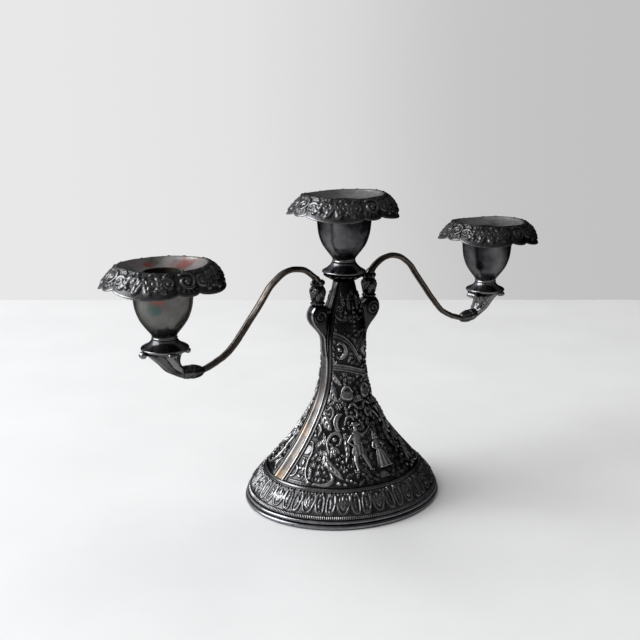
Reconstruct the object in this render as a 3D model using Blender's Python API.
"""Three-light table candelabrum of tarnished silver plate.

The arms lie along X, the front faces -Y and Z is up. The origin is the middle of the foot's
underside. Lengths are in metres.
"""
import math

import bmesh
import bpy
from mathutils import Vector

# Driving dimensions
FOOT_HALF_LENGTH = 0.0736
FOOT_HALF_WIDTH = 0.0658
ARM_REACH = 0.1415  # stem axis to side cup axis
SIDE_CUP_DROP = 0.0323  # how much lower a side cup sits than the centre cup
SOCKET_X = 0.0228  # stem axis to the axis an arm turns on
BRACKET_TOP = 0.1430
CUP_FOOT_BASE = 0.1635  # underside of the centre cup's foot
CANDLE_RADIUS = 0.0111  # bore for a 22 mm candle
GAP = 0.0003  # clearance between touching pieces
WALL = 0.0016  # stamped shells

# Faceting
OVAL_SEGMENTS = 40
TURNED_SEGMENTS = 20
PAN_SEGMENTS = 40
PIN_SEGMENTS = 16

# The stem and foot: height, half length along X and half width along Y of the oval section
BODY_STATIONS = [
    (0.0044, 0.0721, 0.0644),
    (0.0080, 0.0705, 0.0629),
    (0.0140, 0.0660, 0.0589),
    (0.0190, 0.0614, 0.0548),
    (0.0310, 0.0498, 0.0443),
    (0.0450, 0.0379, 0.0332),
    (0.0590, 0.0286, 0.0245),
    (0.0725, 0.0217, 0.0179),
    (0.0860, 0.0178, 0.0143),
    (0.1040, 0.0165, 0.0129),
    (0.1200, 0.0163, 0.0126),
    (0.1370, 0.0137, 0.0112),
    (0.1500, 0.0093, 0.0084),
    (0.1576, 0.0075, 0.0075),
]
RIM_TOP = 0.0063
BORDER_BASE = RIM_TOP + GAP
BORDER_TOP = 0.0236
SHELL_BASE = BORDER_TOP + GAP
SHELL_TOP = 0.1576
SHELL_ROWS = [
    SHELL_BASE, 0.0275, 0.032, 0.038, 0.045, 0.052, 0.059, 0.066, 0.0725, 0.080,
    0.090, 0.104, 0.120, 0.129, 0.137, 0.144, 0.150, SHELL_TOP,
]
STRAP_STAND = 0.0007  # how far a side strap stands proud of the shells
STRAP_BASE_HALF_WIDTH = 0.0052
STRAP_STEM_HALF_WIDTH = 0.0033
STRAP_TOP_HALF_WIDTH = 0.0025
STEM_HEIGHT = 0.104  # where the strap reaches its stem width

MATERIALS = {
    "embossed_silver": ((0.075, 0.075, 0.080), 0.38),
    "smooth_silver": ((0.110, 0.110, 0.115), 0.22),
    "worn_plate": ((0.210, 0.165, 0.115), 0.34),
    "steel": ((0.320, 0.320, 0.320), 0.45),
}


def clear_scene():
    for old in list(bpy.data.objects):
        bpy.data.objects.remove(old)


def make_material(name):
    colour, roughness = MATERIALS[name]
    material = bpy.data.materials.new(name)
    material.use_nodes = True
    shader = material.node_tree.nodes["Principled BSDF"]
    shader.inputs["Base Color"].default_value = (*colour, 1.0)
    shader.inputs["Metallic"].default_value = 1.0
    shader.inputs["Roughness"].default_value = roughness
    return material


def make_empty(name, location, parent=None):
    empty = bpy.data.objects.new(name, None)
    bpy.context.scene.collection.objects.link(empty)
    place(empty, location, parent)
    return empty


def world_origin(item):
    origin = Vector(item.location)
    while item.parent:
        item = item.parent
        origin += item.location
    return origin


def place(item, origin, parent):
    """Put an object at a world position under a parent that is never turned."""
    item.location = Vector(origin)
    if parent:
        item.location -= world_origin(parent)
        item.parent = parent


def add_mesh(name, surface, material, origin=(0, 0, 0), parent=None):
    """Turn a bmesh in world coordinates into a smooth-shaded object with the given origin."""
    bmesh.ops.recalc_face_normals(surface, faces=surface.faces)
    bmesh.ops.translate(surface, verts=surface.verts, vec=-Vector(origin))
    mesh = bpy.data.meshes.new(name)
    surface.to_mesh(mesh)
    surface.free()
    mesh.shade_smooth()
    mesh.set_sharp_from_angle(angle=math.radians(35))
    mesh.materials.append(make_material(material))
    item = bpy.data.objects.new(name, mesh)
    bpy.context.scene.collection.objects.link(item)
    place(item, origin, parent)
    return item


def skin_rings(rings, closed_profile):
    """Join equal rings of points with faces, and either join the last ring to the first
    or cap both ends."""
    surface = bmesh.new()
    loops = [[surface.verts.new(point) for point in ring] for ring in rings]
    pairs = list(zip(loops, loops[1:]))
    if closed_profile:
        pairs.append((loops[-1], loops[0]))
    for low, high in pairs:
        for i in range(len(low)):
            j = (i + 1) % len(low)
            surface.faces.new((low[i], low[j], high[j], high[i]))
    if not closed_profile:
        surface.faces.new(loops[0])
        surface.faces.new(loops[-1])
    return surface


def oval(half_length, half_width, z, segments=OVAL_SEGMENTS, centre=(0.0, 0.0)):
    points = []
    for i in range(segments):
        turn = 2 * math.pi * i / segments
        x = centre[0] + half_length * math.cos(turn)
        points.append((x, centre[1] + half_width * math.sin(turn), z))
    return points


def turned_ring(profile, centre=(0.0, 0.0), segments=TURNED_SEGMENTS, drop=0.0):
    """A turned piece with a hole through it, from a closed outline of (radius, height)."""
    rings = [oval(r, r, z - drop, segments, centre) for r, z in profile]
    return skin_rings(rings, closed_profile=True)


def turned_solid(profile, centre=(0.0, 0.0), segments=PIN_SEGMENTS, drop=0.0):
    """A turned piece with flat ends, from an open outline of (radius, height)."""
    rings = [oval(r, r, z - drop, segments, centre) for r, z in profile]
    return skin_rings(rings, closed_profile=False)


def smooth_between(stations, position, column):
    """Cubic Hermite interpolation of one column of a table of stations."""
    last = len(stations) - 1
    k = 0
    while k < last - 1 and position > stations[k + 1][0]:
        k += 1

    def slope(i):
        low = max(i - 1, 0)
        high = min(i + 1, last)
        rise = stations[high][column] - stations[low][column]
        return rise / (stations[high][0] - stations[low][0])

    start, end = stations[k], stations[k + 1]
    span = end[0] - start[0]
    t = (position - start[0]) / span
    value = (2 * t**3 - 3 * t**2 + 1) * start[column] + (3 * t**2 - 2 * t**3) * end[column]
    value += span * (t**3 - 2 * t**2 + t) * slope(k)
    value += span * (t**3 - t**2) * slope(k + 1)
    return value


def body_half_axes(z):
    return smooth_between(BODY_STATIONS, z, 1), smooth_between(BODY_STATIONS, z, 2)


def wall_across(z):
    """The shell's horizontal thickness where its side slopes."""
    step = 0.0005
    slope = (body_half_axes(z + step)[0] - body_half_axes(z - step)[0]) / (2 * step)
    return WALL * math.sqrt(1 + slope * slope)


def strap_half_width(z):
    if z > STEM_HEIGHT:
        part = (z - STEM_HEIGHT) / (SHELL_TOP - STEM_HEIGHT)
        return STRAP_STEM_HALF_WIDTH + part * (STRAP_TOP_HALF_WIDTH - STRAP_STEM_HALF_WIDTH)
    part = (STEM_HEIGHT - z) / (STEM_HEIGHT - SHELL_BASE)
    return STRAP_STEM_HALF_WIDTH + part * (STRAP_BASE_HALF_WIDTH - STRAP_STEM_HALF_WIDTH)


def make_foot_rim():
    """Two rolled steps. Each pair is the inset from the foot's outline and the height."""
    outline = [
        (0.0054, 0.0), (0.0008, 0.0), (0.0, 0.0008), (0.0, 0.0024), (0.0008, 0.0033),
        (0.0013, 0.0038), (0.0014, 0.0048), (0.0022, 0.0059), (0.0030, RIM_TOP), (0.0054, RIM_TOP),
    ]
    rings = [oval(FOOT_HALF_LENGTH - d, FOOT_HALF_WIDTH - d, z) for d, z in outline]
    add_mesh("foot_rim", skin_rings(rings, closed_profile=True), "embossed_silver")


def make_foot_border():
    rows = [BORDER_BASE, 0.010, 0.014, 0.019, BORDER_TOP]
    rings = [oval(*body_half_axes(z), z) for z in rows]
    for z in reversed(rows):
        a, b = body_half_axes(z)
        rings.append(oval(a - wall_across(z), b - wall_across(z), z))
    add_mesh("foot_border", skin_rings(rings, closed_profile=True), "embossed_silver")


def make_body_shell(name, side):
    """Half of the stamped body. The side is -1 for the front and 1 for the back."""
    outer_points, inner_points = 17, 11
    rings = []
    for z in SHELL_ROWS:
        a, b = body_half_axes(z)
        wall = wall_across(z)
        edge = strap_half_width(z) + GAP
        ring = []
        for count, half_x, half_y in ((outer_points, a, b), (inner_points, a - wall, b - wall)):
            start = math.asin(edge / half_y)
            arc = []
            for i in range(count):
                turn = start + (math.pi - 2 * start) * i / (count - 1)
                arc.append((half_x * math.cos(turn), side * half_y * math.sin(turn), z))
            ring += arc if half_x == a else arc[::-1]
        rings.append(ring)
    add_mesh(name, skin_rings(rings, closed_profile=False), "embossed_silver")


def make_side_strap(name, side):
    rings = []
    for z in SHELL_ROWS:
        a, b = body_half_axes(z)
        wall = wall_across(z)
        half = strap_half_width(z)
        ring = []
        for y in (-half, 0.0, half):
            ring.append((side * (a * math.sqrt(1 - (y / b) ** 2) + STRAP_STAND), y, z))
        for y in (half, 0.0, -half):
            inner = (a - wall) * math.sqrt(1 - (y / (b - wall)) ** 2)
            ring.append((side * inner, y, z))
        rings.append(ring)
    add_mesh(name, skin_rings(rings, closed_profile=False), "worn_plate")


def make_volute_bracket(name, side):
    """The scroll that carries an arm: its outer line, then its inner line on the strap."""
    outer_line = [
        (0.0179, 0.1160), (0.0184, 0.1194), (0.0198, 0.1216), (0.0232, 0.1260), (0.0264, 0.1303),
        (0.0276, 0.1330), (0.0279, 0.1355), (0.0277, 0.1385), (0.0270, 0.1415), (0.0261, BRACKET_TOP),
    ]
    inner_heights = [0.1398, 0.1370, 0.1290, 0.1200, 0.1160]
    outline = outer_line + [(0.0188, BRACKET_TOP)]
    for z in inner_heights:
        outline.append((body_half_axes(z)[0] + STRAP_STAND + GAP, z))
    low, high = 0.0033, 0.0046
    rings = []
    for sign in (-1, 1):
        ring = []
        for x, z in outline:
            part = min(1.0, (z - 0.1160) / 0.014)
            ring.append((side * x, sign * (low + part * (high - low)), z))
        rings.append(ring)
    bracket = add_mesh(name, skin_rings(rings, closed_profile=False), "worn_plate")
    socket = turned_solid([(0.0029, 0.1326), (0.0029, 0.1460)], (side * SOCKET_X, 0))
    cut_away(bracket, add_mesh(name + "_socket_cutter", socket, "steel"))


def cut_away(item, cutter):
    add_boolean(item, cutter, "DIFFERENCE")


def add_boolean(item, tool, operation):
    tool.hide_render = True
    tool.display_type = "WIRE"
    step = item.modifiers.new(tool.name, "BOOLEAN")
    step.operation = operation
    step.solver = "EXACT"
    step.object = tool


def make_neck_collar():
    bore = 0.0026
    profile = [
        (bore, 0.1579), (0.0077, 0.1579), (0.0082, 0.1590), (0.0103, 0.1607),
        (0.0135, 0.1624), (0.0142, 0.1632), (bore, 0.1632),
    ]
    add_mesh("neck_collar", turned_ring(profile), "embossed_silver")


def make_cup_foot(name, x, drop, origin, parent):
    bore = 0.0026
    base = CUP_FOOT_BASE
    profile = [
        (bore, base), (0.0144, base), (0.0153, base + 0.0008), (0.0153, base + 0.0017),
        (0.0134, base + 0.0037), (0.0104, base + 0.0058), (0.0086, base + 0.0076),
        (bore, base + 0.0076),
    ]
    surface = turned_ring(profile, (x, 0), drop=drop)
    add_mesh(name, surface, "smooth_silver", origin, parent)


def make_cup(name, x, drop, origin, parent):
    bore = 0.0026
    wall = 0.0013
    base = CUP_FOOT_BASE + 0.0079
    side = [
        (0.0080, base), (0.0084, base + 0.0010), (0.0081, base + 0.0020), (0.0110, base + 0.0064),
        (0.0130, base + 0.0090), (0.0152, base + 0.0126), (0.0170, base + 0.0170),
        (0.0180, base + 0.0211), (0.0187, base + 0.0275), (0.0192, base + 0.0410),
    ]
    hollow = [(r - wall, z) for r, z in side[:2:-1]]
    profile = [(bore, base)] + side + hollow + [(0.0060, base + 0.0050), (bore, base + 0.0050)]
    surface = turned_ring(profile, (x, 0), drop=drop)
    add_mesh(name, surface, "smooth_silver", origin, parent)


def pan_outline(turn):
    """How far the pan's edge swells or draws in: narrow lobes on the axes, wide lobes on
    the diagonals, and a notch between each two."""
    quarter = math.degrees(turn) % 90
    from_axis = min(quarter, 90 - quarter)
    notch = 18.0
    notch_depth = 0.0008
    if from_axis < notch:
        return 0.0019 * math.cos(math.pi / 2 * from_axis / notch) ** 0.6 - notch_depth
    part = (from_axis - notch) / (45 - notch)
    return 0.0034 * math.sin(math.pi / 2 * part) ** 0.6 - notch_depth


def pan_ring(inset, z, x0, lobed, hole_radius):
    """One ring of the pan, between the round hole and the oblong edge. The inset is 0 at
    the edge and 1 at the hole."""
    half_length, half_width = 0.0380, 0.0344
    end_rise = 0.0014
    points = []
    for i in range(PAN_SEGMENTS):
        turn = 2 * math.pi * i / PAN_SEGMENTS
        swell = lobed * pan_outline(turn)
        long_part = math.cos(turn) * (half_length + swell)
        wide_part = math.sin(turn) * (half_width + swell)
        x = (1 - inset) * long_part + inset * hole_radius * math.cos(turn)
        y = (1 - inset) * wide_part + inset * hole_radius * math.sin(turn)
        lift = end_rise * math.cos(2 * turn) * max(0.0, 1 - inset)
        points.append((x0 + x, y, z + lift))
    return points


def make_drip_pan(name, x, drop, origin, parent):
    """A shallow dish with a border that falls outward from its crest."""
    hole = 0.0127
    seat = 0.2125
    rows = [
        (1.0, seat, 0.0), (0.70, seat + 0.0018, 0.0), (0.50, seat + 0.0040, 0.0),
        (0.39, seat + 0.0056, 0.1), (0.18, seat - 0.0002, 0.8), (0.01, seat - 0.0060, 1.0),
        (0.0, seat - 0.0072, 1.0), (0.03, seat - 0.0077, 1.0), (0.22, seat - 0.0014, 0.7),
        (0.41, seat + 0.0042, 0.0), (0.54, seat + 0.0025, 0.0), (0.74, seat + 0.0004, 0.0),
        (1.0, seat - 0.0012, 0.0),
    ]
    rings = [pan_ring(inset, z - drop, x, lobed, hole) for inset, z, lobed in rows]
    surface = skin_rings(rings, closed_profile=True)
    add_mesh(name, surface, "embossed_silver", origin, parent)


def make_candle_tube(name, x, drop, origin, parent):
    lip_top = 0.2136
    depth_base = 0.1860
    floor = depth_base + 0.0012
    profile = [
        (0.0116, depth_base), (0.0122, depth_base + 0.0006), (0.0122, 0.2129), (0.0135, 0.2129),
        (0.0135, 0.2133), (0.0132, lip_top), (CANDLE_RADIUS, lip_top), (CANDLE_RADIUS, floor),
    ]
    surface = turned_solid(profile, (x, 0), TURNED_SEGMENTS, drop)
    add_mesh(name, surface, "smooth_silver", origin, parent)


def make_clamping():
    """The rod that draws the centre cup down on the shells, and what it pulls against."""
    plate_top, plate_base = 0.0520, 0.0495
    a, b = body_half_axes(plate_top)
    inset = wall_across(plate_top) + GAP + 0.0002
    bore = 0.0026
    rings = [
        oval(bore, bore, plate_base, 24), oval(a - inset, b - inset, plate_base, 24),
        oval(a - inset, b - inset, plate_top, 24), oval(bore, bore, plate_top, 24),
    ]
    add_mesh("clamp_plate", skin_rings(rings, closed_profile=True), "steel")
    washer = [(bore, 0.0480), (0.0065, 0.0480), (0.0065, 0.0492), (bore, 0.0492)]
    add_mesh("tie_rod_washer", turned_ring(washer, segments=PIN_SEGMENTS), "steel")
    nut = [(bore, 0.0440), (0.0046, 0.0440), (0.0046, 0.0477), (bore, 0.0477)]
    add_mesh("tie_rod_nut", turned_ring(nut, segments=12), "steel")
    cup_floor = CUP_FOOT_BASE + 0.0079 + 0.0050 + GAP
    rod = [
        (0.0020, 0.0400), (0.0020, cup_floor), (0.0042, cup_floor),
        (0.0042, cup_floor + 0.0020), (0.0030, cup_floor + 0.0028),
    ]
    add_mesh("tie_rod", turned_solid(rod), "steel")


def make_cup_screw(name, x, drop, origin, parent):
    cup_floor = CUP_FOOT_BASE + 0.0079 + 0.0050 + GAP
    screw = [
        (0.0018, cup_floor - 0.0225), (0.0018, cup_floor), (0.0040, cup_floor),
        (0.0040, cup_floor + 0.0016), (0.0028, cup_floor + 0.0024),
    ]
    surface = turned_solid(screw, (x, 0), drop=drop)
    add_mesh(name, surface, "steel", origin, parent)


def make_arm_tenon(name, side, origin, parent):
    tenon = [(0.0021, 0.1330), (0.0025, 0.1336), (0.0025, 0.1522), (0.0021, 0.1528)]
    surface = turned_solid(tenon, (side * SOCKET_X, 0))
    add_mesh(name, surface, "steel", origin, parent)


def make_ferrule(name, side, origin, parent):
    base = BRACKET_TOP + GAP
    profile = [
        (0.0029, base), (0.0044, base), (0.0049, base + 0.0009), (0.0049, base + 0.0020),
        (0.0045, base + 0.0032), (0.0053, base + 0.0052), (0.0058, base + 0.0080),
        (0.0056, base + 0.0105), (0.0046, base + 0.0132), (0.0020, base + 0.0132),
        (0.0020, base + 0.0098), (0.0029, base + 0.0098),
    ]
    surface = turned_ring(profile, (side * SOCKET_X, 0), PIN_SEGMENTS)
    add_mesh(name, surface, "embossed_silver", origin, parent)


def make_ferrule_cap(name, side, origin, parent):
    """A cap with four lobes."""
    segments = 24
    base = BRACKET_TOP + GAP + 0.0135
    rings = []
    for radius, lobe, z in (
        (0.0042, 0.0003, base), (0.0047, 0.0009, base + 0.0008), (0.0049, 0.0010, base + 0.0024),
        (0.0042, 0.0006, base + 0.0034),
    ):
        ring = []
        for i in range(segments):
            turn = 2 * math.pi * i / segments
            r = radius + lobe * math.cos(4 * turn)
            ring.append((side * SOCKET_X + r * math.cos(turn), r * math.sin(turn), z))
        rings.append(ring)
    surface = skin_rings(rings, closed_profile=False)
    add_mesh(name, surface, "embossed_silver", origin, parent)


def section_ring(centre, tangent, half_thick, half_width, segments):
    """An oval section square to a direction in the arm's plane Y = 0."""
    normal = Vector((-tangent[1], 0.0, tangent[0]))
    points = []
    for i in range(segments):
        turn = 2 * math.pi * i / segments
        along = normal * (half_thick * math.sin(turn))
        point = Vector((centre[0], half_width * math.cos(turn), centre[1])) + along
        points.append(tuple(point))
    return points


def mirror_rings(rings, side):
    return [[(side * x, y, z) for x, y, z in ring] for ring in rings]


def make_arm_rod(name, side, origin, parent):
    """The S-shaped rod: up out of the ferrule, over the top and down to the knob."""
    route = [
        (0.0236, 0.1608), (0.0260, 0.1634), (0.0285, 0.1655), (0.0345, 0.1692), (0.0430, 0.1706),
        (0.0520, 0.1687), (0.0615, 0.1618), (0.0688, 0.1527), (0.0774, 0.1421), (0.0863, 0.1315),
        (0.0930, 0.1242), (0.0985, 0.1202), (0.1045, 0.1171), (0.1105, 0.1148), (0.1153, 0.1133),
    ]
    distances = [0.0]
    for a, b in zip(route, route[1:]):
        distances.append(distances[-1] + math.dist(a, b))
    table = [(d, *point) for d, point in zip(distances, route)]
    steps = 24

    def at(distance):
        return smooth_between(table, distance, 1), smooth_between(table, distance, 2)

    rings = []
    for i in range(steps + 1):
        distance = distances[-1] * i / steps
        ahead = at(min(distance + 0.0002, distances[-1]))
        behind = at(max(distance - 0.0002, 0.0))
        tangent = Vector((ahead[0] - behind[0], ahead[1] - behind[1])).normalized()
        if i == 0:
            tangent = Vector((0.0, 1.0))
        if i == steps:
            tangent = Vector((1.0, 0.0))
        rings.append(section_ring(at(distance), tangent, 0.0016, 0.0027, 10))
    surface = skin_rings(mirror_rings(rings, side), closed_profile=False)
    add_mesh(name, surface, "worn_plate", origin, parent)


def make_arm_knob(name, side, origin, parent):
    """An egg-shaped collar that rises a little towards the elbow."""
    start_x, start_z, rise = 0.1157, 0.1131, 0.09
    outline = [
        (0.1157, 0.0026), (0.1170, 0.0034), (0.1198, 0.0042), (0.1235, 0.0046),
        (0.1243, 0.0043), (0.1265, 0.0044), (0.1299, 0.0038),
    ]
    rings = []
    for x, r in outline:
        height = start_z + rise * (x - start_x)
        rings.append(section_ring((x, height), (1.0, 0.0), r, r, 20))
    surface = skin_rings(mirror_rings(rings, side), closed_profile=False)
    add_mesh(name, surface, "smooth_silver", origin, parent)


def make_elbow_bracket(name, side, origin, parent):
    """The leaf casting that turns up from the knob and opens under the cup's foot, with
    a curl at each end of its seat. A station is the section's middle, its direction in
    degrees, its half thickness and its half width."""
    seat_height = CUP_FOOT_BASE - SIDE_CUP_DROP - GAP
    stations = [
        (0.1302, 0.1145, 0, 0.0035, 0.0037), (0.1327, 0.1163, 36, 0.0038, 0.0042),
        (0.1368, 0.1201, 60, 0.0055, 0.0055), (0.1393, 0.1246, 76, 0.0077, 0.0068),
        (0.1412, 0.1285, 90, 0.0112, 0.0088), (ARM_REACH, seat_height, 90, 0.0148, 0.0118),
    ]
    rings = []
    for x, z, angle, half_thick, half_width in stations:
        tangent = (math.cos(math.radians(angle)), math.sin(math.radians(angle)))
        rings.append(section_ring((x, z), tangent, half_thick, half_width, 20))
    surface = skin_rings(mirror_rings(rings, side), closed_profile=False)
    bracket = add_mesh(name, surface, "smooth_silver", origin, parent)
    for end, x, z in (("inner", 0.1267, 0.1293), ("outer", 0.1563, 0.1293)):
        curl = bmesh.new()
        bmesh.ops.create_cone(
            curl, cap_ends=True, segments=12, radius1=0.0015, radius2=0.0015, depth=0.0084
        )
        for vertex in curl.verts:
            vertex.co = (side * x + vertex.co.x, vertex.co.z, z + vertex.co.y)
        tool = add_mesh(f"{name}_{end}_curl", curl, "smooth_silver", origin, parent)
        add_boolean(bracket, tool, "UNION")
    screw_hole = turned_solid([(0.0022, 0.1205), (0.0022, 0.1340)], (side * ARM_REACH, 0))
    cut_away(bracket, add_mesh(name + "_hole_cutter", screw_hole, "steel", origin, parent))


def make_stand():
    make_foot_rim()
    make_foot_border()
    make_body_shell("body_front_shell", -1)
    make_body_shell("body_back_shell", 1)
    for word, side in (("left", -1), ("right", 1)):
        make_side_strap(f"{word}_side_strap", side)
        make_volute_bracket(f"{word}_volute_bracket", side)
    make_neck_collar()
    make_cup_foot("centre_cup_foot", 0.0, 0.0, (0, 0, 0), None)
    make_cup("centre_cup", 0.0, 0.0, (0, 0, 0), None)
    make_clamping()


def make_pan(word, x, drop, parent):
    origin = (x, 0.0, 0.2125 - drop)
    seat = make_empty(f"{word}_pan_seat", origin, parent)
    make_drip_pan(f"{word}_drip_pan", x, drop, origin, seat)
    make_candle_tube(f"{word}_candle_tube", x, drop, origin, seat)


def make_arm(word, side):
    """An arm hangs on its tenon's axis, and so does its origin."""
    origin = (side * SOCKET_X, 0.0, BRACKET_TOP)
    cup_x = side * ARM_REACH
    pivot = make_empty(f"{word}_arm_pivot", origin)
    make_arm_tenon(f"{word}_arm_tenon", side, origin, pivot)
    make_ferrule(f"{word}_ferrule", side, origin, pivot)
    make_ferrule_cap(f"{word}_ferrule_cap", side, origin, pivot)
    make_arm_rod(f"{word}_arm_rod", side, origin, pivot)
    make_arm_knob(f"{word}_arm_knob", side, origin, pivot)
    make_elbow_bracket(f"{word}_elbow_bracket", side, origin, pivot)
    make_cup_foot(f"{word}_cup_foot", cup_x, SIDE_CUP_DROP, origin, pivot)
    make_cup(f"{word}_cup", cup_x, SIDE_CUP_DROP, origin, pivot)
    make_cup_screw(f"{word}_cup_screw", cup_x, SIDE_CUP_DROP, origin, pivot)
    make_pan(word, cup_x, SIDE_CUP_DROP, pivot)


clear_scene()
make_stand()
make_pan("centre", 0.0, 0.0, None)
make_arm("left", -1)
make_arm("right", 1)
